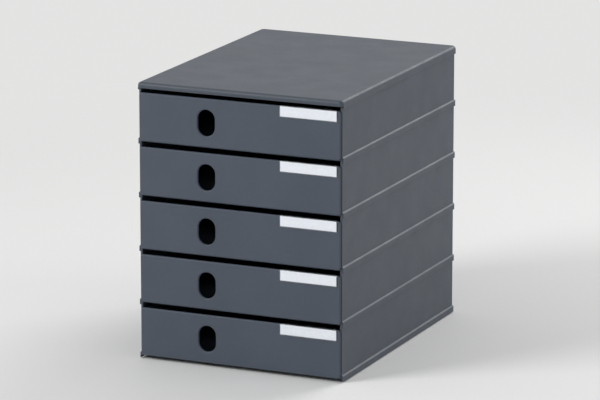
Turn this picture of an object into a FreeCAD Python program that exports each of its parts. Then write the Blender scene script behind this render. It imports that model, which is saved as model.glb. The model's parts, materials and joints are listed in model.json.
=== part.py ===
# Desk unit with closed drawers: a stack of moulded level frames under a cover, one drawer to a level.
# Millimetres. +Z is up, the drawer fronts face -Y, and the origin is under the middle of the unit.
import FreeCAD, Part
import math
import os
import Sketcher

Vector = FreeCAD.Vector
doc = FreeCAD.newDocument("drawer_organizer")
sheet = doc.addObject("Spreadsheet::Sheet", "Sizes")

# Driving dimensions: name, value, what it measures
driving_sizes = [
    ("housing_width", 250, "across the skirts of the level frames"),
    ("housing_depth", 332, "front edge of a frame to the back of its skirt"),
    ("level_count", 5, "levels in the stack"),
    ("wall_thickness", 2.2, "side and rear walls of a frame"),
    ("floor_thickness", 2.2, "floor of a frame"),
    ("rear_corner_radius", 6, "upright rear corners of a skirt, outside"),
    ("skirt_step", 1.6, "how far a skirt stands out from the wall"),
    ("skirt_drop", 3, "skirt below the frame's floor, around the walls below"),
    ("skirt_rise", 3, "skirt above the underside of the floor"),
    ("stack_clearance", 0.15, "between a skirt and the walls inside it"),
    ("runner_height", 1.5, "runner ribs on the floor"),
    ("runner_width", 3, "one runner rib"),
    ("runner_offset", 96, "middle of the unit to a runner rib"),
    ("runner_setback", 4, "frame's front edge to the runner's end, and the same at the rear"),
    ("cover_height", 6, "cover above the top frame's walls"),
    ("cover_plate", 2.4, "top of the cover"),
    ("cover_lip_drop", 0.7, "cover's front lip below the tops of the walls"),
    ("cover_edge_radius", 4, "rounded top edges of the cover"),
    ("cover_corner_radius", 4.6, "upright front corners of the cover"),
    ("cover_rib_width", 1.6, "one stiffening rib under the cover"),
    ("cover_rib_depth", 2.8, "one rib below the plate"),
    ("cover_rib_pitch", 56, "from rib to rib"),
    ("cover_rib_count", 4, "ribs under the cover"),
    ("foot_height", 4, "one rubber foot"),
    ("foot_radius", 8, "foot where it is stuck on"),
    ("foot_taper", 1.5, "how much narrower a foot's radius is where it stands"),
    ("foot_inset", 24, "frame's edges to the middle of a foot"),
    ("front_thickness", 2.8, "drawer front"),
    ("front_reveal", 2.5, "housing seen beside a drawer front"),
    ("front_gap", 6.5, "between one front and the next"),
    ("front_lift", 0.8, "lower edge of a front above its level"),
    ("front_corner_radius", 3.5, "corners of a drawer front"),
    ("front_edge_bevel", 1, "front edges and rim of the finger hole"),
    ("closing_gap", 0.3, "behind the front of a closed drawer"),
    ("hole_width", 21, "finger hole"),
    ("hole_height", 30, "finger hole"),
    ("hole_offset", 40, "finger hole to the left of the middle"),
    ("tray_wall", 2, "walls and floor of a drawer"),
    ("tray_rim", 54, "top of the drawer's walls above the level"),
    ("rim_headroom", 8, "drawer's rim to the level above"),
    ("tray_corner_radius", 5, "upright rear corners of a drawer"),
    ("tray_bottom_radius", 4, "rounded lower edges of a drawer"),
    ("tray_draft", 0.5, "slope of the drawer's walls, degrees"),
    ("side_clearance", 0.9, "drawer's rim to the walls"),
    ("rear_clearance", 1.2, "drawer's rim to the rear wall"),
    ("running_clearance", 0.3, "drawer's floor above the runners"),
    ("drawer_travel", 270, "closed to the stop"),
    ("stop_clearance", 0.3, "tab to lug with the drawer fully out"),
    ("stop_offset", 82, "middle of the unit to a stop"),
    ("stop_width", 14, "stop tab and lug"),
    ("stop_lug_length", 4, "lug along the travel"),
    ("stop_lug_drop", 2.6, "lug below the level above"),
    ("stop_headroom", 1, "over a stop tab"),
    ("holder_length", 68, "label holder"),
    ("holder_height", 12.5, "label holder below the front's top edge"),
    ("holder_wall", 0.8, "label holder"),
    ("holder_pocket", 0.5, "slot for the card"),
    ("holder_leg", 3.6, "hook behind the front"),
    ("holder_margin", 4, "label holder to the right edge of the front"),
    ("holder_clearance", 0.1, "label holder to the front"),
    ("holder_edge_bevel", 0.3, "front edges of the label holder"),
    ("hook_setback", 3, "ends of the hook inside the ends of the label holder"),
    ("card_thickness", 0.3, "label card"),
    ("card_clearance", 0.2, "label card to the ends and edges of its slot"),
]
for row, (alias, value, note) in enumerate(driving_sizes, 1):
    sheet.set(f"A{row}", note)
    sheet.set(f"B{row}", str(value))
    sheet.setAlias(f"B{row}", alias)
doc.recompute()

# Sizes that follow from the driving ones, as expressions
level_pitch = "(Sizes.tray_rim + Sizes.rim_headroom)"
wall_width = "(Sizes.housing_width - 2 * Sizes.skirt_step)"
wall_depth = "(Sizes.housing_depth - Sizes.skirt_step)"
wall_corner = "(Sizes.rear_corner_radius - Sizes.skirt_step)"
space_width = f"({wall_width} - 2 * Sizes.wall_thickness)"
space_depth = f"({wall_depth} - Sizes.wall_thickness)"
skirt_height = "(Sizes.skirt_drop + Sizes.skirt_rise + Sizes.skirt_step)"
floor_top = "(Sizes.skirt_drop + Sizes.floor_thickness)"
front_stand = "(Sizes.closing_gap + Sizes.front_thickness)"
front_width = "(Sizes.housing_width - 2 * Sizes.front_reveal)"
front_top = f"(Sizes.front_lift + {level_pitch} - Sizes.front_gap)"
tray_width = f"({space_width} - 2 * Sizes.side_clearance)"
tray_length = f"({space_depth} + Sizes.closing_gap - Sizes.rear_clearance)"
tray_underside = "(Sizes.floor_thickness + Sizes.runner_height + Sizes.running_clearance)"
tab_front = f"({tray_length} - Sizes.tray_wall)"
lug_far = f"({tab_front} - Sizes.closing_gap - Sizes.drawer_travel - Sizes.stop_clearance)"
lug_near = f"({lug_far} - Sizes.stop_lug_length)"
stop_inner = "(Sizes.stop_offset - Sizes.stop_width / 2)"
stop_outer = "(Sizes.stop_offset + Sizes.stop_width / 2)"
holder_front = "(2 * Sizes.holder_wall + Sizes.holder_pocket)"
holder_stand = f"({holder_front} + Sizes.holder_clearance)"
hook_inner = f"({holder_stand} + Sizes.front_thickness + Sizes.holder_clearance)"
hook_outer = f"({hook_inner} + Sizes.holder_wall)"
holder_top = "(Sizes.holder_height + Sizes.holder_wall)"
holder_left = f"({front_width} / 2 - Sizes.holder_margin - Sizes.holder_length)"
holder_bottom = f"({front_top} + Sizes.holder_clearance - Sizes.holder_height)"
pocket_height = "(Sizes.holder_height - Sizes.holder_wall)"

# The frame's front edge in the unit's own coordinates: the whole depth is centred on the origin
frame_front = f"(({front_stand} + {holder_stand} - Sizes.housing_depth) / 2)"
tolerance = 1e-4
root_point = (-1, 1)


def level_base(level):
    # Underside of a level's floor, where level 1 is the top one
    return f"(Sizes.foot_height + {level_pitch} * (Sizes.level_count - {level}))"


def new_body(name, x="0", y="0", z="0"):
    body = doc.addObject("PartDesign::Body", name)
    body.Label = name
    body.setExpression("Placement.Base.x", x)
    body.setExpression("Placement.Base.y", y)
    body.setExpression("Placement.Base.z", z)
    return body


def origin_part(body, role):
    return next(part for part in body.Origin.OriginFeatures if part.Role == role)


def new_sketch(body, role, name, lift=None):
    sketch = body.newObject("Sketcher::SketchObject", name)
    sketch.AttachmentSupport = (origin_part(body, role), [""])
    sketch.MapMode = "FlatFace"
    if lift:
        sketch.setExpression("AttachmentOffset.Base.z", lift)
    return sketch


def bind(sketch, kind, first, second, expression):
    # A distance between two points, or from the axis when the expression is None
    if expression is None:
        axis = -2 if kind == "DistanceX" else -1
        sketch.addConstraint(Sketcher.Constraint("PointOnObject", *second, axis))
        return
    span = sketch.getPoint(*second) - sketch.getPoint(*first)
    start = span.x if kind == "DistanceX" else span.y
    index = sketch.addConstraint(Sketcher.Constraint(kind, *first, *second, start))
    sketch.setExpression(f"Constraints[{index}]", expression)


def bind_radius(sketch, arc, expression):
    radius = sketch.Geometry[arc].Radius
    index = sketch.addConstraint(Sketcher.Constraint("Radius", arc, radius))
    sketch.setExpression(f"Constraints[{index}]", expression)


def line(x1, y1, x2, y2):
    return Part.LineSegment(Vector(x1, y1, 0), Vector(x2, y2, 0))


def arc(x, y, radius, start, end):
    circle = Part.Circle(Vector(x, y, 0), Vector(0, 0, 1), radius)
    return Part.ArcOfCircle(circle, math.radians(start), math.radians(end))


def corner_outline(sketch, corners):
    # Straight-sided outline: each corner gives its two distances from the axes, None on the axis
    count = len(corners)
    turns = [2 * math.pi * n / count for n in range(count)]
    rough = [(1 + math.cos(turn), 1 + math.sin(turn)) for turn in turns]
    sides = sketch.addGeometry([line(*rough[n], *rough[(n + 1) % count]) for n in range(count)])
    for n, side in enumerate(sides):
        sketch.addConstraint(Sketcher.Constraint("Coincident", side, 2, sides[(n + 1) % count], 1))
    for side, (across, along) in zip(sides, corners):
        bind(sketch, "DistanceX", root_point, (side, 1), across)
        bind(sketch, "DistanceY", root_point, (side, 1), along)


def rectangle(sketch, left, right, low, high):
    corner_outline(sketch, [(left, low), (right, low), (right, high), (left, high)])


def centred_rectangle(sketch, width, low, high):
    half, top = sheet.housing_width / 2, sheet.tray_rim
    corners = [(-half, 1), (half, 1), (half, top), (-half, top)]
    low_side, right, high_side, left = sketch.addGeometry(
        [line(*corners[n], *corners[(n + 1) % 4]) for n in range(4)])
    for first, second in ((low_side, right), (right, high_side), (high_side, left), (left, low_side)):
        sketch.addConstraint(Sketcher.Constraint("Coincident", first, 2, second, 1))
    for side in (right, left):
        sketch.addConstraint(Sketcher.Constraint("Vertical", side))
    sketch.addConstraint(Sketcher.Constraint("Horizontal", high_side))
    sketch.addConstraint(Sketcher.Constraint("Symmetric", low_side, 1, low_side, 2, -2))
    bind(sketch, "DistanceX", (low_side, 1), (low_side, 2), width)
    bind(sketch, "DistanceY", root_point, (low_side, 1), low)
    bind(sketch, "DistanceY", root_point, (high_side, 1), high)


def bay_outline(sketch, width, far, corner, near=None):
    # Square at the front, rounded at the two rear corners
    half, depth, radius = sheet.housing_width / 2, sheet.housing_depth, sheet.rear_corner_radius
    front, right, right_arc, rear, left_arc, left = sketch.addGeometry([
        line(-half, 1, half, 1),
        line(half, 1, half, depth - radius),
        arc(half - radius, depth - radius, radius, 0, 90),
        line(half - radius, depth, radius - half, depth),
        arc(radius - half, depth - radius, radius, 90, 180),
        line(-half, depth - radius, -half, 1),
    ])
    for first, second in ((right, right_arc), (right_arc, rear), (rear, left_arc), (left_arc, left)):
        sketch.addConstraint(Sketcher.Constraint("Tangent", first, 2, second, 1))
    sketch.addConstraint(Sketcher.Constraint("Coincident", front, 2, right, 1))
    sketch.addConstraint(Sketcher.Constraint("Coincident", left, 2, front, 1))
    sketch.addConstraint(Sketcher.Constraint("Vertical", right))
    sketch.addConstraint(Sketcher.Constraint("Vertical", left))
    sketch.addConstraint(Sketcher.Constraint("Horizontal", rear))
    sketch.addConstraint(Sketcher.Constraint("Equal", right_arc, left_arc))
    sketch.addConstraint(Sketcher.Constraint("Symmetric", front, 1, front, 2, -2))
    bind_radius(sketch, right_arc, corner)
    bind(sketch, "DistanceX", (front, 1), (front, 2), width)
    bind(sketch, "DistanceY", root_point, (front, 1), near)
    bind(sketch, "DistanceY", root_point, (rear, 1), far)


def finger_hole_outline(sketch):
    # Upright slot with round ends
    radius = sheet.hole_width / 2
    x = -sheet.hole_offset
    low, high = radius, sheet.hole_height - radius
    right, top, left, bottom = sketch.addGeometry([
        line(x + radius, low, x + radius, high),
        arc(x, high, radius, 0, 180),
        line(x - radius, high, x - radius, low),
        arc(x, low, radius, 180, 360),
    ])
    for first, second in ((right, top), (top, left), (left, bottom), (bottom, right)):
        sketch.addConstraint(Sketcher.Constraint("Tangent", first, 2, second, 1))
    sketch.addConstraint(Sketcher.Constraint("Vertical", right))
    sketch.addConstraint(Sketcher.Constraint("Equal", top, bottom))
    bind_radius(sketch, top, "Sizes.hole_width / 2")
    straight = "(Sizes.hole_height - Sizes.hole_width)"
    middle = f"((Sizes.front_lift + {front_top}) / 2)"
    bind(sketch, "DistanceX", (top, 3), root_point, "Sizes.hole_offset")
    bind(sketch, "DistanceY", root_point, (bottom, 3), f"{middle} - {straight} / 2")
    bind(sketch, "DistanceY", (bottom, 3), (top, 3), straight)


def finished(body, feature, grows=None):
    # Works the feature out and makes sure that it added or took away material
    before = body.Tip.Shape.Volume if body.Tip and body.Tip != feature else 0
    body.Tip = feature
    doc.recompute()
    change = feature.Shape.Volume - before
    if grows is not None and (change < tolerance if grows else change > -tolerance):
        raise RuntimeError(f"{body.Label}: {feature.Name} changed the volume by {change:.3f}")
    return feature


def pad(body, sketch, name, length, downwards=False):
    last = body.Tip
    feature = body.newObject("PartDesign::Pad", name)
    feature.Profile = sketch
    feature.Reversed = downwards
    feature.setExpression("Length", length)
    body.Tip = last
    return finished(body, feature, grows=True)


def pocket(body, sketch, name, length, upwards=False):
    last = body.Tip
    feature = body.newObject("PartDesign::Pocket", name)
    feature.Profile = sketch
    feature.Reversed = upwards
    feature.setExpression("Length", length)
    body.Tip = last
    return finished(body, feature, grows=False)


def edge_names(feature, wanted):
    return [f"Edge{n}" for n, edge in enumerate(feature.Shape.Edges, 1) if wanted(edge.BoundBox)]


def face_names(feature, wanted):
    return [f"Face{n}" for n, face in enumerate(feature.Shape.Faces, 1) if wanted(face.BoundBox)]


def dress_up(body, kind, name, wanted, size_name, expression):
    base = body.Tip
    feature = body.newObject(f"PartDesign::{kind}", name)
    feature.Base = (base, edge_names(base, wanted))
    feature.setExpression(size_name, expression)
    body.Tip = base
    return finished(body, feature)


def mirror_across(body, feature, name):
    copy = body.newObject("PartDesign::Mirrored", name)
    copy.Originals = [feature]
    copy.MirrorPlane = (origin_part(body, "YZ_Plane"), [""])
    return finished(body, copy)


def same(one, other):
    return abs(one - other) < tolerance


def stacking_recess(body, near, depth):
    # The underside takes the wall tops of the frame below, with the skirt around them
    sketch = new_sketch(body, "XY_Plane", f"{body.Name}_recess_outline")
    corner = f"{wall_corner} + Sizes.stack_clearance"
    far = f"{depth} - Sizes.skirt_step + Sizes.stack_clearance"
    bay_outline(sketch, f"{wall_width} + 2 * Sizes.stack_clearance", far, corner, near)
    pocket(body, sketch, f"{body.Name}_recess", "Sizes.skirt_drop", upwards=True)


def stop_lugs(body, root_height, setback, drop):
    # Two lugs that hang in the way of the tabs of the drawer below
    sketch = new_sketch(body, "XY_Plane", f"{body.Name}_lug_outline", root_height)
    rectangle(sketch, stop_inner, stop_outer, f"{lug_near} + {setback}", f"{lug_far} + {setback}")
    lug = pad(body, sketch, f"{body.Name}_lug", drop, downwards=True)
    mirror_across(body, lug, f"{body.Name}_lugs")


def level_frame(level):
    name = f"level_frame_{level}"
    body = new_body(name, y=frame_front, z=f"{level_base(level)} - Sizes.skirt_drop")
    skirt = new_sketch(body, "XY_Plane", f"{name}_skirt_outline")
    bay_outline(skirt, "Sizes.housing_width", "Sizes.housing_depth", "Sizes.rear_corner_radius")
    block = pad(body, skirt, f"{name}_skirt", skirt_height)
    top = block.Shape.BoundBox.ZMax
    # The skirt runs into the wall at 45 degrees on three sides
    dress_up(body, "Chamfer", f"{name}_step",
             lambda box: same(box.ZMin, top) and box.YMax > tolerance, "Size", "Sizes.skirt_step")
    walls = new_sketch(body, "XY_Plane", f"{name}_wall_outline", skirt_height)
    bay_outline(walls, wall_width, wall_depth, wall_corner)
    pad(body, walls, f"{name}_walls", f"Sizes.skirt_drop + {level_pitch} - {skirt_height}")
    space = new_sketch(body, "XY_Plane", f"{name}_space_outline", f"Sizes.skirt_drop + {level_pitch}")
    bay_outline(space, space_width, space_depth, f"{wall_corner} - Sizes.wall_thickness")
    pocket(body, space, f"{name}_space", f"{level_pitch} - Sizes.floor_thickness")
    stacking_recess(body, None, "Sizes.housing_depth")
    runner = new_sketch(body, "XY_Plane", f"{name}_runner_outline", floor_top)
    rectangle(runner, "Sizes.runner_offset - Sizes.runner_width / 2",
              "Sizes.runner_offset + Sizes.runner_width / 2",
              "Sizes.runner_setback", f"{space_depth} - Sizes.runner_setback")
    rib = pad(body, runner, f"{name}_runner", "Sizes.runner_height")
    mirror_across(body, rib, f"{name}_runners")
    stop_lugs(body, "Sizes.skirt_drop", "0", "Sizes.stop_lug_drop")
    return body


def top_cover():
    name = "top_cover"
    body = new_body(name, y=f"{frame_front} - {front_stand}", z=f"{level_base(0)} - Sizes.skirt_drop")
    depth = f"(Sizes.housing_depth + {front_stand})"
    lip_underside = "Sizes.skirt_drop - Sizes.cover_lip_drop"
    outline = new_sketch(body, "XY_Plane", f"{name}_outline", lip_underside)
    bay_outline(outline, "Sizes.housing_width", depth, "Sizes.rear_corner_radius")
    block = pad(body, outline, f"{name}_block", "Sizes.cover_height + Sizes.cover_lip_drop")
    top = block.Shape.BoundBox.ZMax
    dress_up(body, "Fillet", f"{name}_front_corners",
             lambda box: same(box.YMax, 0) and box.ZLength > tolerance,
             "Radius", "Sizes.cover_corner_radius")
    dress_up(body, "Fillet", f"{name}_shoulders",
             lambda box: same(box.ZMin, top), "Radius", "Sizes.cover_edge_radius")
    skirt = new_sketch(body, "XY_Plane", f"{name}_skirt_outline")
    bay_outline(skirt, "Sizes.housing_width", depth, "Sizes.rear_corner_radius", front_stand)
    pad(body, skirt, f"{name}_skirt", "Sizes.skirt_drop")
    # A lip is left in front of the walls, as thick as a drawer front
    stacking_recess(body, f"{front_stand} - Sizes.stack_clearance", depth)
    hollow = new_sketch(body, "XY_Plane", f"{name}_hollow_outline", lip_underside)
    bay_outline(hollow, space_width, f"{space_depth} + {front_stand}",
                f"{wall_corner} - Sizes.wall_thickness", "Sizes.front_thickness")
    pocket(body, hollow, f"{name}_hollow",
           "Sizes.cover_height - Sizes.cover_plate + Sizes.cover_lip_drop", upwards=True)
    plate_underside = "Sizes.skirt_drop + Sizes.cover_height - Sizes.cover_plate"
    rib_outline = new_sketch(body, "XY_Plane", f"{name}_rib_outline", plate_underside)
    outermost = "Sizes.cover_rib_pitch * (Sizes.cover_rib_count - 1) / 2"
    rectangle(rib_outline, f"{outermost} - Sizes.cover_rib_width / 2",
              f"{outermost} + Sizes.cover_rib_width / 2",
              "Sizes.front_thickness", f"{space_depth} + {front_stand}")
    rib = pad(body, rib_outline, f"{name}_rib", "Sizes.cover_rib_depth", downwards=True)
    ribs = body.newObject("PartDesign::LinearPattern", f"{name}_ribs")
    ribs.Originals = [rib]
    ribs.Direction = (origin_part(body, "X_Axis"), [""])
    ribs.Reversed = True
    ribs.setExpression("Length", "Sizes.cover_rib_pitch * (Sizes.cover_rib_count - 1)")
    ribs.setExpression("Occurrences", "Sizes.cover_rib_count")
    finished(body, ribs)
    stop_lugs(body, plate_underside, front_stand,
              "Sizes.cover_height - Sizes.cover_plate + Sizes.stop_lug_drop")
    return body


def rubber_feet():
    name = "rubber_feet"
    across = "(Sizes.housing_width - 2 * Sizes.foot_inset)"
    along = "(Sizes.housing_depth - 2 * Sizes.foot_inset)"
    body = new_body(name, x=f"-{across} / 2", y=f"{frame_front} + Sizes.foot_inset")
    body.AllowCompound = True
    disc = new_sketch(body, "XZ_Plane", f"{name}_section")
    corner_outline(disc, [
        (None, None), ("Sizes.foot_radius - Sizes.foot_taper", None),
        ("Sizes.foot_radius", "Sizes.foot_height"), (None, "Sizes.foot_height")])
    foot = body.newObject("PartDesign::Revolution", f"{name}_disc")
    foot.Profile = disc
    foot.ReferenceAxis = (origin_part(body, "Z_Axis"), [""])
    finished(body, foot)
    four = body.newObject("PartDesign::LinearPattern", f"{name}_pattern")
    four.Originals = [foot]
    four.Direction = (origin_part(body, "X_Axis"), [""])
    four.Direction2 = (origin_part(body, "Y_Axis"), [""])
    four.Occurrences = 2
    four.Occurrences2 = 2
    four.setExpression("Length", across)
    four.setExpression("Length2", along)
    finished(body, four)
    return body


def drawer(level):
    name = f"drawer_{level}"
    body = new_body(name, y=f"{frame_front} - Sizes.closing_gap", z=level_base(level))
    rim = new_sketch(body, "XY_Plane", f"{name}_rim_outline", "Sizes.tray_rim")
    bay_outline(rim, tray_width, tray_length, "Sizes.tray_corner_radius")
    block = pad(body, rim, f"{name}_block", f"Sizes.tray_rim - {tray_underside}", downwards=True)
    low, top = block.Shape.BoundBox.ZMin, block.Shape.BoundBox.ZMax
    # The walls lean in towards the floor, so that the tray comes out of its mould
    draft = body.newObject("PartDesign::Draft", f"{name}_draft")
    draft.Base = (block, face_names(block, lambda box: box.ZLength > tolerance and box.YMax > tolerance))
    draft.NeutralPlane = (block, face_names(block, lambda box: same(box.ZMin, top)))
    draft.Reversed = True
    draft.setExpression("Angle", "Sizes.tray_draft")
    body.Tip = block
    finished(body, draft, grows=False)
    dress_up(body, "Fillet", f"{name}_bottom_edges",
             lambda box: same(box.ZMax, low) and box.YMax > tolerance, "Radius", "Sizes.tray_bottom_radius")
    # One wall thickness all round, open above and at the front
    solid = body.Tip
    shell = body.newObject("PartDesign::Thickness", f"{name}_shell")
    shell.Base = (solid, face_names(solid, lambda box: same(box.ZMin, top) or same(box.YMax, 0)))
    shell.Reversed = True
    shell.setExpression("Value", "Sizes.tray_wall")
    body.Tip = solid
    finished(body, shell, grows=False)
    tab = new_sketch(body, "XY_Plane", f"{name}_tab_outline", "Sizes.tray_rim")
    rectangle(tab, stop_inner, stop_outer, tab_front, tray_length)
    stop = pad(body, tab, f"{name}_tab", "Sizes.rim_headroom - Sizes.stop_headroom")
    mirror_across(body, stop, f"{name}_tabs")
    front = new_sketch(body, "XZ_Plane", f"{name}_front_outline")
    centred_rectangle(front, front_width, "Sizes.front_lift", front_top)
    finger_hole_outline(front)
    pad(body, front, f"{name}_front", "Sizes.front_thickness")
    face = body.Tip.Shape.BoundBox.YMin
    side = body.Tip.Shape.BoundBox.XMax
    dress_up(body, "Fillet", f"{name}_front_corners",
             lambda box: same(abs(box.Center.x), side) and same(box.ZLength, 0) and same(box.XLength, 0),
             "Radius", "Sizes.front_corner_radius")
    dress_up(body, "Chamfer", f"{name}_front_edges",
             lambda box: same(box.YMin, face) and same(box.YMax, face), "Size", "Sizes.front_edge_bevel")
    return body


def label_holder(level):
    # Clear strip with a slot for the card, hooked over the top edge of the drawer front
    name = f"label_holder_{level}"
    body = new_body(name, x=holder_left, y=f"{frame_front} - {front_stand} - {holder_stand}",
                    z=f"{level_base(level)} + {holder_bottom}")
    section = new_sketch(body, "YZ_Plane", f"{name}_section")
    hook_end = "(Sizes.holder_height - Sizes.holder_leg)"
    corner_outline(section, [
        (None, None), (holder_front, None), (holder_front, "Sizes.holder_height"),
        (hook_inner, "Sizes.holder_height"), (hook_inner, hook_end), (hook_outer, hook_end),
        (hook_outer, holder_top), (None, holder_top)])
    rectangle(section, "Sizes.holder_wall", "Sizes.holder_wall + Sizes.holder_pocket",
              "Sizes.holder_wall", "Sizes.holder_height")
    pad(body, section, f"{name}_strip", "Sizes.holder_length")
    dress_up(body, "Chamfer", f"{name}_edges",
             lambda box: same(box.YMax, 0) and same(box.ZLength, 0), "Size", "Sizes.holder_edge_bevel")
    # The hook is a tongue, cut back at both ends to stay clear of the drawer's side wall
    relief = new_sketch(body, "XY_Plane", f"{name}_relief_outline", hook_end)
    rectangle(relief, None, "Sizes.hook_setback", holder_front, hook_outer)
    rectangle(relief, "Sizes.holder_length - Sizes.hook_setback", "Sizes.holder_length",
              holder_front, hook_outer)
    pocket(body, relief, f"{name}_relief", "Sizes.holder_leg + Sizes.holder_wall", upwards=True)
    return body


def label_card(level):
    name = f"label_card_{level}"
    slack = "(Sizes.holder_pocket - Sizes.card_thickness) / 2"
    back = f"Sizes.holder_wall + {slack} + Sizes.card_thickness"
    body = new_body(name, x=f"{holder_left} + Sizes.card_clearance",
                    y=f"{frame_front} - {front_stand} - {holder_stand} + {back}",
                    z=f"{level_base(level)} + {holder_bottom} + Sizes.holder_wall")
    outline = new_sketch(body, "XZ_Plane", f"{name}_outline")
    rectangle(outline, None, "Sizes.holder_length - 2 * Sizes.card_clearance",
              "Sizes.card_clearance", f"{pocket_height} - Sizes.card_clearance")
    pad(body, outline, f"{name}_sheet", "Sizes.card_thickness")
    return body


sub_parts = [top_cover(), rubber_feet()]
for level in range(1, int(sheet.level_count) + 1):
    sub_parts += [level_frame(level), drawer(level), label_holder(level), label_card(level)]
doc.recompute()

for item in doc.Objects:
    if {"Invalid", "Error"} & set(item.State):
        raise RuntimeError(f"{item.Name} failed: {item.State}")
for part in sub_parts:
    if part.Shape.isNull() or not part.Shape.isValid():
        raise RuntimeError(f"{part.Label} has no valid shape")

os.makedirs("parts", exist_ok=True)
whole = FreeCAD.BoundBox()
for part in sub_parts:
    part.Shape.exportStep(f"parts/{part.Label}.step")
    whole.add(part.Shape.BoundBox)
    print(f"{part.Label}: {len(part.Shape.Solids)} solid(s), {part.Shape.Volume / 1000:.2f} cm3")
print(f"whole unit: {whole.XLength:.2f} x {whole.YLength:.2f} x {whole.ZLength:.2f} mm")
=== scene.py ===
import bpy
import json
import math
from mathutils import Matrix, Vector


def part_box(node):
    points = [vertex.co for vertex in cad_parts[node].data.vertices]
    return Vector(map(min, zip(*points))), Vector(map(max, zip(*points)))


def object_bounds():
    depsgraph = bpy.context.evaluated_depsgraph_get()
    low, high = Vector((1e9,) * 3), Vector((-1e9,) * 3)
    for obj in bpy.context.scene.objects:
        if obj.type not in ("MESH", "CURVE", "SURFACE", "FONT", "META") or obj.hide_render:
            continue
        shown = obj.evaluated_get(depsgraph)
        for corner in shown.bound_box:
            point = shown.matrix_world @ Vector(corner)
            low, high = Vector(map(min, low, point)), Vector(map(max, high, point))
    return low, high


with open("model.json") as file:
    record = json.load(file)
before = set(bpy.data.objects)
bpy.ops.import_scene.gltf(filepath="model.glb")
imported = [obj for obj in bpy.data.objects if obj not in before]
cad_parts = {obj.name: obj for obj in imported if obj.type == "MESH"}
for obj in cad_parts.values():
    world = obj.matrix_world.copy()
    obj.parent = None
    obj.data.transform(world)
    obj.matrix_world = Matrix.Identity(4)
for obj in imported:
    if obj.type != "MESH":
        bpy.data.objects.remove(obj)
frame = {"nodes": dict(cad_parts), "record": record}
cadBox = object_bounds()
nodes = frame["nodes"]
record = frame["record"]
slotOf = {part["node"]: part["material_slot"] for part in record["subparts"]}
spaceOf = {space["name"]: [Vector(corner) for corner in space["box_m"]]
           for space in record["physics"]["openings"]}
print("loaded", len(nodes), "nodes, box", [round(side, 4) for side in cadBox[1] - cadBox[0]])


def toned(tone, share=1.0):
    # a tone as a colour with its alpha, made darker or paler by the share
    return (*(channel * share for channel in tone), 1.0)


class Wire:
    # one socket of a shader; maths on it adds Math nodes
    def __init__(self, tree, socket=None):
        self.tree = tree
        self.socket = socket

    def node(self, kind, settings=None, inputs=None):
        made = self.tree.nodes.new("ShaderNode" + kind)
        for name, value in (settings or {}).items():
            setattr(made, name, value)
        for name, value in (inputs or {}).items():
            if isinstance(value, Wire):
                self.tree.links.new(value.socket, made.inputs[name])
            else:
                made.inputs[name].default_value = value
        return Wire(self.tree, made.outputs[0] if made.outputs else None)

    def out(self, name):
        return Wire(self.tree, self.socket.node.outputs[name])

    def maths(self, operation, *values):
        return self.node("Math", {"operation": operation}, dict(enumerate(values)))

    def __add__(self, other):
        return self.maths("ADD", self, other)

    def __sub__(self, other):
        return self.maths("SUBTRACT", self, other)

    def __rsub__(self, other):
        return self.maths("SUBTRACT", other, self)

    def __mul__(self, other):
        return self.maths("MULTIPLY", self, other)

    def __mod__(self, other):
        return self.maths("FLOORED_MODULO", self, other)

    def __pow__(self, other):
        return self.maths("POWER", self, other)

    def __abs__(self):
        return self.maths("ABSOLUTE", self)

    __radd__ = __add__
    __rmul__ = __mul__

    def least(self, other):
        return self.maths("MINIMUM", self, other)

    def most(self, other):
        return self.maths("MAXIMUM", self, other)

    def ramp(self, low, high):
        # smooth 0 to 1 between two values, falling when low is above high
        return self.node("MapRange", {"interpolation_type": "SMOOTHSTEP"},
                         {"Value": self, "From Min": low, "From Max": high})

    def reach(self, other):
        # distance from two offsets at right angles
        return (self ** 2.0 + other ** 2.0) ** 0.5

    def noise(self, size, detail=2.0, roughness=0.5, stretch=None):
        # noise over a place in metres, with features of about this size
        where = self
        if stretch:
            where = self.node("VectorMath", {"operation": "MULTIPLY"}, {0: self, 1: stretch})
        return self.node("TexNoise", None, {"Vector": where, "Scale": 1 / size, "Detail": detail,
                                            "Roughness": roughness})

    def patches(self, size, band=(0.3, 0.7), **more):
        # soft patches, 0 to 1, as the noise rises through the band
        return self.noise(size, **more).ramp(*band)

    def blend(self, first, second):
        # colour mix with this wire as the share of the second; its sockets share names, so they go by number
        mixed = self.node("Mix", {"data_type": "RGBA"}, {0: self, 6: first, 7: second})
        return mixed.out(2)

    def shades(self, tone, low, high):
        # from a darker to a paler shade of one tone
        return self.blend(toned(tone, low), toned(tone, high))

    def axes(self):
        parts = self.node("SeparateXYZ", None, {0: self})
        return parts.out("X"), parts.out("Y"), parts.out("Z")

    def bump(self, under=None):
        # normal of this height in metres, over another normal
        base = {"Normal": under} if under else {}
        return self.node("Bump", None, {"Strength": 1.0, "Distance": 1.0, "Height": self, **base})


def newFinish(name):
    # an empty material, and the place on its piece that patterns follow
    material = bpy.data.materials.new(name)
    material.use_nodes = True
    material.node_tree.nodes.clear()
    start = Wire(material.node_tree)
    return material, start, start.node("TexCoord").out("Object")


def surfaced(material, start, sockets):
    shader = start.node("BsdfPrincipled", None, sockets)
    start.node("OutputMaterial", None, {"Surface": shader})
    return material


def facingUp(start, low, high):
    normal = start.node("NewGeometry").out("Normal")
    return normal.axes()[2].ramp(low, high)


def edgeRound(start, look):
    # soft normal across sharp edges, and a mask of the spots that it turns
    soft = start.node("Bevel", {"samples": look["edgeSamples"]}, {"Radius": look["edgeRadius"]})
    flat = start.node("NewGeometry").out("Normal")
    along = start.node("VectorMath", {"operation": "DOT_PRODUCT"}, {0: soft, 1: flat}).out("Value")
    return soft, (1 - along).ramp(0.0, look["edgeTurn"])


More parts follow.
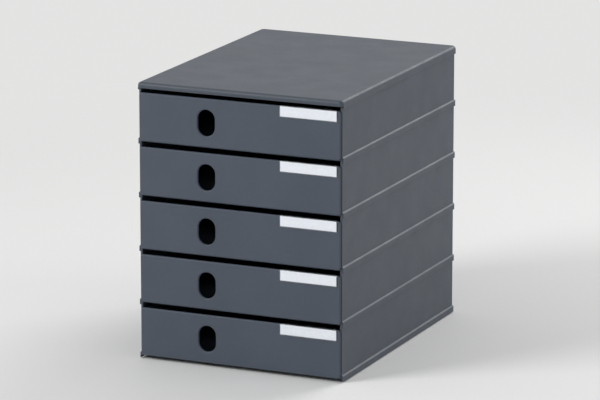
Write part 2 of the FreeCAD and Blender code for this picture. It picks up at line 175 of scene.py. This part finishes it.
plastic = {
    "shine": 0.42,
    "grain": {"size": 0.0007, "roughness": 0.6},                    # spark-eroded texture of the mould
    "grainShare": 1.2, "grainDepth": 0.00012,
    "wave": {"size": 0.034, "detail": 1.0, "roughness": 0.4},       # unevenness of a thin moulded wall
    "waveDepth": 0.00007,
    "clouds": {"size": 0.06, "detail": 3.0, "roughness": 0.55},     # slight clouding of the colour
    "cloudShare": 0.38, "tones": (0.9, 1.1),
    "flow": {"size": 0.03, "detail": 3.0}, "flowRough": 0.06,       # duller and brighter where the melt ran
    "edgeRadius": 0.0006, "edgeSamples": 6, "edgeTurn": 0.2,        # edges are soft, and rubbed paler
    "edgeShare": 0.4, "edgeTone": 1.9,
    "hairlines": {"size": 0.0011, "band": (0.64, 0.72), "detail": 1.0, "stretch": (0.03, 0.03, 1.0)},
    "scratched": {"size": 0.045, "band": (0.52, 0.68)},             # the places that have fine scratches
    "scratchShare": 0.14, "scratchTone": 2.4, "scratchRough": 0.08,
}


def mouldedPlastic(start, where, look):
    # what both plastics share: tone, roughness, height of the grain, soft normal
    soft, edge = edgeRound(start, plastic)
    grain = where.noise(**plastic["grain"])
    wave = where.noise(**plastic["wave"])
    clouds = where.patches(**plastic["clouds"])
    flow = where.patches(**plastic["flow"])
    scratches = where.patches(**plastic["hairlines"]) * where.patches(**plastic["scratched"])
    # patterns run from 0 to 1, and at their middle they leave tone and roughness as they are
    shade = 0.5 + plastic["cloudShare"] * (clouds - 0.5) + plastic["grainShare"] * (grain - 0.5)
    tone = shade.shades(look["tone"], *plastic["tones"])
    tone = (scratches * plastic["scratchShare"]).blend(tone, toned(look["tone"], plastic["scratchTone"]))
    tone = (edge * plastic["edgeShare"]).blend(tone, toned(look["tone"], plastic["edgeTone"]))
    rough = look["rough"] + plastic["flowRough"] * (flow - 0.5) + plastic["scratchRough"] * scratches
    return tone, rough, grain * plastic["grainDepth"] + wave * plastic["waveDepth"], soft


housing = {
    "tone": (0.0523, 0.0649, 0.0857), "rough": 0.48,
    "dust": (0.26, 0.26, 0.255), "dustShare": 0.08, "dustRough": 0.08,
    "dustUp": (0.55, 0.95), "dustBase": 0.35,                       # it settles on what faces up
    "film": {"size": 0.05, "band": (0.3, 0.75), "detail": 4.0, "roughness": 0.6}, "filmShare": 0.45,
    "specks": {"size": 0.0016, "band": (0.62, 0.72), "detail": 1.0}, "speckShare": 0.5,
}


def housingPlastic():
    material, start, where = newFinish("housingPlastic")
    tone, rough, height, soft = mouldedPlastic(start, where, housing)
    film = housing["filmShare"] * where.patches(**housing["film"])
    specks = housing["speckShare"] * where.patches(**housing["specks"])
    dust = facingUp(start, *housing["dustUp"]) * (housing["dustBase"] + film + specks).least(1.0)
    tone = (dust * housing["dustShare"]).blend(tone, toned(housing["dust"]))
    return surfaced(material, start, {"Base Color": tone, "Roughness": rough + housing["dustRough"] * dust,
                                      "Specular IOR Level": plastic["shine"], "Normal": height.bump(soft)})


drawer = {
    "tone": (0.0595, 0.0748, 0.1005), "rough": 0.46,
    "frontFade": 0.0006,                                            # from the front to the tray behind it
    "polish": 0.14, "polishBand": (0.036, 0.012), "polishTall": 0.8,    # under 1 is taller than wide
    "rubs": {"size": 0.013, "band": (0.3, 0.65), "detail": 3.0, "roughness": 0.6},
    "wallOut": 0.0022, "floorDown": 0.0016,                         # from the inside to the middle of a wall
    "sinkReach": 0.0035, "sinkDepth": 0.00003,
    "pinRadius": 0.004, "pinRim": 0.0003, "pinPitch": (0.078, 0.096),
    "pinDepth": 0.00012, "pinRough": 0.1,
    "floorUp": (0.9, 0.99), "floorBand": (0.008, 0.005),            # what counts as the tray's floor
}


def drawerPlastic():
    material, start, where = newFinish("drawerPlastic")
    tone, rough, height, soft = mouldedPlastic(start, where, drawer)
    # every level repeats, so heights count up from the underside of a drawer
    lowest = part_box("drawer_5")[0]
    x, y, z = where.axes()
    local = (z - lowest.z) % (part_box("drawer_4")[0].z - lowest.z)
    front = (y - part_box("level_frame_5")[0].y).ramp(0.0, -drawer["frontFade"])
    # fingers have rubbed the front smoother around its hole
    holeLow, holeHigh = spaceOf["drawer_5_finger_hole"]
    hole = (holeLow + holeHigh) / 2
    away = (x - hole.x).reach(drawer["polishTall"] * (local - (hole.z - lowest.z)))
    rubbed = away.ramp(*drawer["polishBand"]) * front * where.patches(**drawer["rubs"])
    # shallow sink lines where the tray's walls and floor meet the back of the front
    insideLow, insideHigh = spaceOf["drawer_5_inside"]
    wallX = insideHigh.x + drawer["wallOut"]
    floorZ = insideLow.z - drawer["floorDown"] - lowest.z
    upright = abs(abs(x) - wallX).ramp(drawer["sinkReach"], 0.0)
    level = abs(local - floorZ).ramp(drawer["sinkReach"], 0.0)
    sink = upright.most(level) * front
    # round marks of the ejector pins on the tray's floor
    stepX, stepY = drawer["pinPitch"]
    middle = (x % stepX - stepX / 2).reach(y % stepY - stepY / 2)
    trayFloor = facingUp(start, *drawer["floorUp"]) * (local - floorZ).ramp(*drawer["floorBand"])
    pins = middle.ramp(drawer["pinRadius"] + drawer["pinRim"], drawer["pinRadius"]) * trayFloor
    height = height - drawer["sinkDepth"] * sink - drawer["pinDepth"] * pins
    rough = rough - drawer["polish"] * rubbed - drawer["pinRough"] * pins
    return surfaced(material, start, {"Base Color": tone, "Roughness": rough,
                                      "Specular IOR Level": plastic["shine"], "Normal": height.bump(soft)})


holder = {
    "tone": (0.93, 0.96, 0.98), "rough": 0.09,
    "face": 0.06, "slant": 0.5, "slantBlend": 0.35, "slantPower": 3.0,  # mirrored share, head-on and aslant
    "edgeRadius": 0.0004, "edgeSamples": 6, "edgeTurn": 0.15, "edgeShare": 0.38,    # cut edges gather light
    "smears": {"size": 0.011, "band": (0.4, 0.7), "detail": 3.0, "roughness": 0.6}, "smearRough": 0.12,
    "hairs": {"size": 0.0006, "band": (0.66, 0.74), "detail": 1.0, "stretch": (0.05, 1.0, 1.0)},
    "hairShare": 0.05,
}


def clearPlastic():
    # a see-through film that mirrors by its small share, more so at a glancing angle and along its edges
    material, start, where = newFinish("clearPlastic")
    soft, edge = edgeRound(start, holder)
    slant = start.node("LayerWeight", None, {"Blend": holder["slantBlend"]}).out("Facing")
    smears = where.patches(**holder["smears"])
    hairs = where.patches(**holder["hairs"])
    alpha = holder["face"] + holder["slant"] * slant ** holder["slantPower"]
    alpha = alpha + holder["edgeShare"] * edge + holder["hairShare"] * hairs
    return surfaced(material, start, {"Base Color": toned(holder["tone"]), "Metallic": 1.0, "Alpha": alpha,
                                      "Roughness": holder["rough"] + holder["smearRough"] * smears,
                                      "Normal": soft})


card = {
    "tone": (0.885, 0.912, 0.972), "shine": 0.3, "rough": 0.72,
    "pulp": {"size": 0.004, "detail": 4.0, "roughness": 0.65}, "pulpTones": (0.97, 1.02), "pulpRough": 0.12,
    "fibres": {"size": 0.00025, "roughness": 0.6, "stretch": (0.4, 1.0, 1.0)}, "fibreDepth": 0.000012,
}


def whiteCard():
    material, start, where = newFinish("whiteCard")
    pulp = where.patches(**card["pulp"])
    fibres = where.noise(**card["fibres"])
    return surfaced(material, start, {"Base Color": pulp.shades(card["tone"], *card["pulpTones"]),
                                      "Roughness": card["rough"] + card["pulpRough"] * pulp,
                                      "Specular IOR Level": card["shine"],
                                      "Normal": (fibres * card["fibreDepth"]).bump()})


rubber = {
    "tone": (0.022, 0.022, 0.023), "rough": 0.72,
    "bloom": {"size": 0.006, "band": (0.4, 0.7), "detail": 3.0, "roughness": 0.6},  # pale film of age
    "bloomTones": (0.85, 1.5), "bloomRough": 0.12,
    "pits": {"size": 0.0007, "roughness": 0.6}, "pitDepth": 0.00006,
}


def footRubber():
    material, start, where = newFinish("footRubber")
    bloom = where.patches(**rubber["bloom"])
    pits = where.noise(**rubber["pits"])
    return surfaced(material, start, {"Base Color": bloom.shades(rubber["tone"], *rubber["bloomTones"]),
                                      "Roughness": rubber["rough"] + rubber["bloomRough"] * bloom,
                                      "Normal": (pits * rubber["pitDepth"]).bump()})


finishes = {
    "housing_plastic": housingPlastic(),
    "drawer_plastic": drawerPlastic(),
    "clear_plastic": clearPlastic(),
    "white_card": whiteCard(),
    "foot_rubber": footRubber(),
}
for name, piece in nodes.items():
    piece.data.materials.clear()
    piece.data.materials.append(finishes[slotOf[name]])
print("finishes on", len(nodes), "nodes")


def seenDirectly(start):
    # 1 for what the camera, a reflection or a clear piece shows, 0 for light that falls on things
    ray = start.node("LightPath")
    return (ray.out("Is Camera Ray") + ray.out("Is Glossy Ray") + ray.out("Is Transmission Ray")).least(1.0)


ground = {
    "radius": 14.0, "sides": 96,
    "drop": 0.0002,                                                 # keeps it clear of the feet
    "tone": (0.84, 0.84, 0.835), "shine": 0.2, "rough": 0.65,
    "mottle": {"size": 0.6, "detail": 3.0}, "mottleTones": (0.985, 1.015),
    "paleBand": (0.5, 1.4), "paleTone": (0.77, 0.77, 0.765),        # further out it is one even tone
}


def floorFinish():
    material, start, where = newFinish("paleFloor")
    tone = where.noise(**ground["mottle"]).shades(ground["tone"], *ground["mottleTones"])
    lit = start.node("BsdfPrincipled", None, {"Base Color": tone, "Roughness": ground["rough"],
                                              "Specular IOR Level": ground["shine"]})
    even = start.node("Emission", None, {"Color": toned(ground["paleTone"]), "Strength": 1.0})
    x, y, _ = where.axes()
    share = x.reach(y).ramp(*ground["paleBand"]) * seenDirectly(start)
    mixed = start.node("MixShader", None, {0: share, 1: lit, 2: even})
    start.node("OutputMaterial", None, {"Surface": mixed})
    return material


def layFloor():
    turns = [2 * math.pi * n / ground["sides"] for n in range(ground["sides"])]
    level = cadBox[0].z - ground["drop"]
    rim = [(ground["radius"] * math.cos(turn), ground["radius"] * math.sin(turn), level) for turn in turns]
    mesh = bpy.data.meshes.new("floor")
    mesh.from_pydata(rim, [], [list(range(len(rim)))])
    mesh.materials.append(floorFinish())
    disc = bpy.data.objects.new("floor", mesh)
    bpy.context.scene.collection.objects.link(disc)


layFloor()
print("floor laid")


lamps = {
    "key": {"place": (-1.6, -1.9, 1.6), "size": 1.2, "watts": 46},
    "fill": {"place": (2.6, 0.2, 1.3), "size": 1.8, "watts": 9},
    "rear": {"place": (0.9, 2.4, 1.9), "size": 1.8, "watts": 44},
}


def hangLamps():
    aim = (cadBox[0] + cadBox[1]) / 2
    for name, lamp in lamps.items():
        light = bpy.data.lights.new(name, "AREA")
        light.shape = "DISK"
        light.size = lamp["size"]
        light.energy = lamp["watts"]
        hung = bpy.data.objects.new(name, light)
        hung.location = lamp["place"]
        hung.rotation_euler = (aim - hung.location).to_track_quat("-Z", "Y").to_euler()
        bpy.context.scene.collection.objects.link(hung)


sky = {"light": 0.40, "seen": 0.78, "tone": (1.0, 1.0, 1.0)}          # what it sheds, and what shows of it


def openSky():
    world = bpy.data.worlds.new("sky")
    world.use_nodes = True
    world.node_tree.nodes.clear()
    start = Wire(world.node_tree)
    strength = sky["light"] + (sky["seen"] - sky["light"]) * seenDirectly(start)
    back = start.node("Background", None, {"Color": toned(sky["tone"]), "Strength": strength})
    start.node("OutputWorld", None, {"Surface": back})
    bpy.context.scene.world = world


hangLamps()
openSky()
print("lit by", ", ".join(lamps), "and sky")


viewing = {"azimuth": 24, "elevation": 13.7, "distance": 4.7, "lens": 246, "sensor": 36, "sight": 100}


def standCamera():
    azimuth, elevation = math.radians(viewing["azimuth"]), math.radians(viewing["elevation"])
    back = Vector((math.sin(azimuth) * math.cos(elevation), -math.cos(azimuth) * math.cos(elevation),
                   math.sin(elevation)))
    turn = (-back).to_track_quat("-Z", "Y")
    right, up = turn @ Vector((1, 0, 0)), turn @ Vector((0, 1, 0))
    xs, ys, zs = zip(*cadBox)
    corners = [Vector((x, y, z)) for x in xs for y in ys for z in zs]
    middle = (cadBox[0] + cadBox[1]) / 2
    for way in (right, up):   # the seen outline sits in the middle of the picture
        spans = [(corner - middle).dot(way) for corner in corners]
        middle = middle + way * (min(spans) + max(spans)) / 2
    camera = bpy.data.cameras.new("camera")
    camera.lens = viewing["lens"]
    camera.sensor_width = viewing["sensor"]
    camera.clip_end = viewing["sight"]
    stand = bpy.data.objects.new("camera", camera)
    stand.location = middle + back * viewing["distance"]
    stand.rotation_mode = "QUATERNION"
    stand.rotation_quaternion = turn
    bpy.context.scene.collection.objects.link(stand)
    bpy.context.scene.camera = stand


standCamera()
bpy.context.scene.view_settings.view_transform = "Standard"
